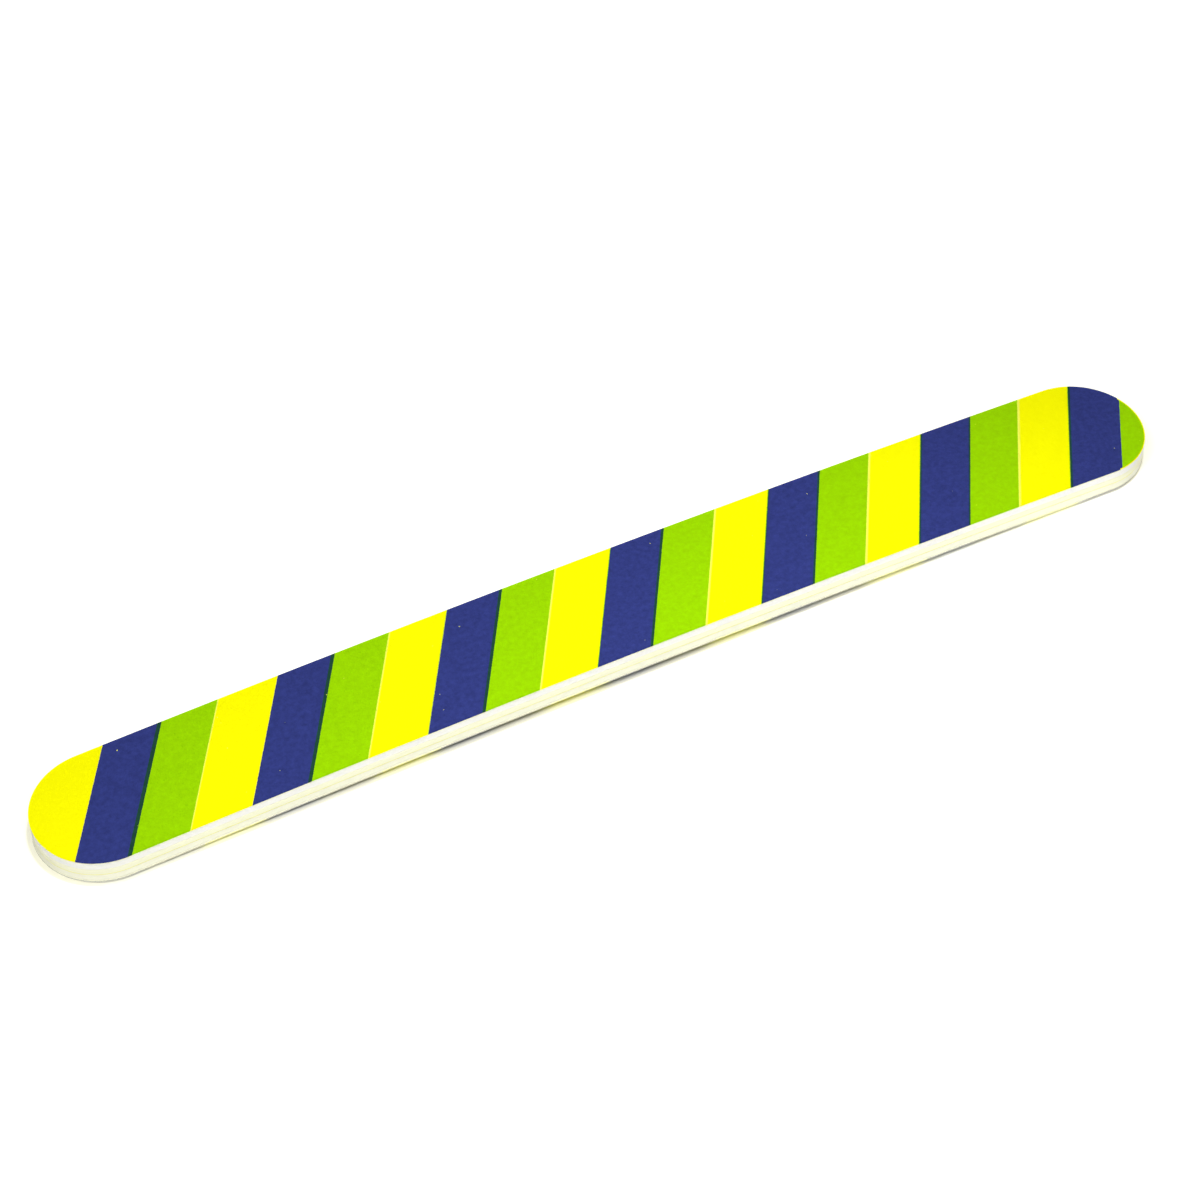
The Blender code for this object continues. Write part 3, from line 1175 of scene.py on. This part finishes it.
class NAILFILE_OT_grit_coats(bpy.types.Operator):
    """Makes the printed coat of small grains on each sheet"""

    bl_idname = "nailfile.grit_coats"
    bl_label = "Printed grit coats"

    def execute(self, context):
        grit = context.scene.nail_file_grit
        tree = coat_tree()
        for number, level in enumerate(LEVELS):
            values = {
                "Roughness": grit.net_roughness,
                "Rim Roll": grit.rim_roll,
                "Rim Roll Height": grit.rim_roll_height,
                **grit_values(context, number, level),
            }
            net = coat_mesh(grit.net_spacing, grit.seed + number)
            piece = run_tree(f"{level}_grit_coat", tree, values, net)
            shade(piece, COAT_CRISP_ANGLE)
            place_piece(piece, "printed_grit")
        return {"FINISHED"}


class NAILFILE_OT_large_grains(bpy.types.Operator):
    """Scatters the larger grains over each sheet"""

    bl_idname = "nailfile.large_grains"
    bl_label = "Large grains"

    def execute(self, context):
        grit = context.scene.nail_file_grit
        tree = grain_tree()
        for number, level in enumerate(LEVELS):
            values = {
                "Spacing": grit.spacing,
                "Grain Size": grit.size,
                "Sink": grit.sink,
                "Rim Margin": grit.rim_margin,
                **grit_values(context, number, level, on_grains=True),
            }
            piece = run_tree(f"{level}_grains", tree, values)
            shade(piece, GRAIN_CRISP_ANGLE)
            place_piece(piece, "printed_grit")
        return {"FINISHED"}


def link(item):
    bpy.context.scene.collection.objects.link(item)
    return item


def make_floor(stage):
    """A round pale floor with a slight shine, and a glow on it that only the camera sees.

    The glow keeps the floor white in the picture. It ends just under the file's edge, a little
    farther in at the right, and keeps back from the tips.
    """
    mesh = bpy.data.meshes.new("floor")
    turns = [math.tau * side / FLOOR_SIDES for side in range(FLOOR_SIDES)]
    radius = stage.floor_size
    rim = [(radius * math.cos(turn), radius * math.sin(turn), 0) for turn in turns]
    mesh.from_pydata(rim, [], [tuple(range(FLOOR_SIDES))])
    material = bpy.data.materials.new("Floor")
    material.use_nodes = True
    nodes = NodeSteps(material.node_tree)
    material.node_tree.nodes.remove(material.node_tree.nodes["Principled BSDF"])
    colour = (*stage.floor_colour, 1)
    matte = nodes.out("ShaderNodeBsdfDiffuse", {"Color": colour})
    shine = nodes.out(
        "ShaderNodeBsdfAnisotropic", {"Color": colour, "Roughness": stage.floor_roughness}
    )
    mixed = nodes.out("ShaderNodeMixShader", {0: stage.floor_shine, 1: matte, 2: shine})
    coordinates = material.node_tree.nodes.new("ShaderNodeTexCoord")
    x, y, _ = nodes.split_xyz(coordinates.outputs["Object"])
    from_rim = nodes.minus(nodes.length(rim_vector(nodes, x, y, HALF_STRAIGHT)), END_RADIUS)
    lift = bow_height(nodes, x, FILE_LENGTH, 1.0, 0.0)
    at_right = nodes.product(nodes.math("MAXIMUM", x, 0.0), lift)
    lean = nodes.total(at_right, nodes.math("MINIMUM", x, 0.0))
    lit = nodes.total(from_rim, nodes.product(lean, stage.near_glow_lean))
    fall = nodes.minus(1.0, lift)
    held_back = nodes.product(fall, fall, stage.near_glow_held_back)
    lit = nodes.minus(lit, held_back)
    near_glow = nodes.ramp(
        lit, -stage.near_glow_inside, stage.near_glow_outside, 0.0, stage.near_glow
    )
    far_glow = nodes.ramp(from_rim, 0.0, stage.far_glow_reach, 0.0, stage.far_glow, smooth=False)
    glow = nodes.total(near_glow, far_glow)
    path = material.node_tree.nodes.new("ShaderNodeLightPath")
    seen_glow = nodes.product(glow, path.outputs["Is Camera Ray"])
    backdrop = nodes.out("ShaderNodeEmission", {"Strength": seen_glow})
    white = nodes.out("ShaderNodeAddShader", {0: mixed, 1: backdrop})
    output = material.node_tree.nodes["Material Output"]
    nodes.feed(output.inputs["Surface"], white)
    mesh.materials.append(material)
    floor = link(bpy.data.objects.new("floor", mesh))


def make_sky(stage):
    """White light, most of it from above. The camera and what shines see plain white."""
    world = bpy.data.worlds.new("Studio")
    world.use_nodes = True
    bpy.context.scene.world = world
    nodes = NodeSteps(world.node_tree)
    path = world.node_tree.nodes.new("ShaderNodeLightPath")
    seen = path.outputs["Is Camera Ray"]
    for kind in ("Is Glossy Ray", "Is Transmission Ray"):
        seen = nodes.math("MAXIMUM", seen, path.outputs[kind])
    direction = world.node_tree.nodes.new("ShaderNodeTexCoord").outputs["Generated"]
    _, _, height = nodes.split_xyz(direction)
    light = nodes.ramp(height, 0.0, 1.0, stage.sky_low, stage.sky_high, smooth=False)
    strength = nodes.ramp(seen, 0.0, 1.0, light, 1.0, smooth=False)
    background = world.node_tree.nodes["Background"]
    background.inputs["Color"].default_value = (1, 1, 1, 1)
    nodes.feed(background.inputs["Strength"], strength)


def make_lamp(stage, name, beam_width):
    """A soft round lamp, with its place, its power and the point it shines on from the stage."""
    place = Vector(getattr(stage, f"{name}_place"))
    aim = Vector(getattr(stage, f"{name}_aim"))
    light = bpy.data.lights.new(name, "AREA")
    light.shape = "DISK"
    light.size = stage.lamp_size
    light.energy = getattr(stage, f"{name}_power")
    light.spread = beam_width
    lamp = link(bpy.data.objects.new(name, light))
    lamp.visible_camera = False
    lamp.location = place
    lamp.rotation_mode = "QUATERNION"
    lamp.rotation_quaternion = (aim - place).to_track_quat("-Z", "Y")


def make_camera(stage):
    lens = bpy.data.cameras.new("camera")
    lens.lens = stage.lens
    camera = link(bpy.data.objects.new("camera", lens))
    back = Vector(
        (
            math.sin(stage.azimuth) * math.cos(stage.elevation),
            -math.cos(stage.azimuth) * math.cos(stage.elevation),
            math.sin(stage.elevation),
        )
    )
    camera.location = Vector(stage.aim) + stage.distance * back
    camera.rotation_mode = "QUATERNION"
    level = (-back).to_track_quat("-Z", "Y")
    camera.rotation_quaternion = level @ Quaternion((0, 0, 1), stage.roll)
    bpy.context.scene.camera = camera


class NAILFILE_OT_stage(bpy.types.Operator):
    """Makes the floor, the light and the camera"""

    bl_idname = "nailfile.stage"
    bl_label = "Stage"

    def execute(self, context):
        stage = context.scene.nail_file_stage
        make_camera(stage)
        make_floor(stage)
        make_sky(stage)
        make_lamp(stage, "main_lamp", math.pi)
        make_lamp(stage, "top_lamp", math.pi)
        make_lamp(stage, "right_lamp", stage.right_lamp_beam)
        context.scene.view_settings.view_transform = "Standard"
        return {"FINISHED"}


class NAILFILE_PT_panel(bpy.types.Panel):
    """Lists the steps that build the nail file"""

    bl_idname = "NAILFILE_PT_panel"
    bl_label = "Nail file"
    bl_space_type = "VIEW_3D"
    bl_region_type = "UI"
    bl_category = "Nail file"

    def draw(self, context):
        for step in STEPS:
            self.layout.operator(step.bl_idname)


STEPS = (
    NAILFILE_OT_stage,
    NAILFILE_OT_plastic_core,
    NAILFILE_OT_adhesive_films,
    NAILFILE_OT_foam_pads,
    NAILFILE_OT_backing_paper,
    NAILFILE_OT_grit_coats,
    NAILFILE_OT_large_grains,
)
SETTINGS = {
    "nail_file_cut": CutSettings,
    "nail_file_print": PrintSettings,
    "nail_file_grit": GritSettings,
    "nail_file_laminate": LaminateSettings,
    "nail_file_stage": StageSettings,
}


def register():
    for name, settings in SETTINGS.items():
        bpy.utils.register_class(settings)
        setattr(bpy.types.Scene, name, bpy.props.PointerProperty(type=settings))
    for step in STEPS:
        bpy.utils.register_class(step)
    bpy.utils.register_class(NAILFILE_PT_panel)


def unregister():
    bpy.utils.unregister_class(NAILFILE_PT_panel)
    for step in reversed(STEPS):
        bpy.utils.unregister_class(step)
    for name, settings in reversed(SETTINGS.items()):
        delattr(bpy.types.Scene, name)
        bpy.utils.unregister_class(settings)


def main():
    register()
    bpy.ops.nailfile.stage()
    bpy.ops.nailfile.plastic_core()
    bpy.ops.nailfile.adhesive_films()
    bpy.ops.nailfile.foam_pads()
    bpy.ops.nailfile.backing_paper()
    bpy.ops.nailfile.grit_coats()
    bpy.ops.nailfile.large_grains()


if __name__ == "__main__":
    main()
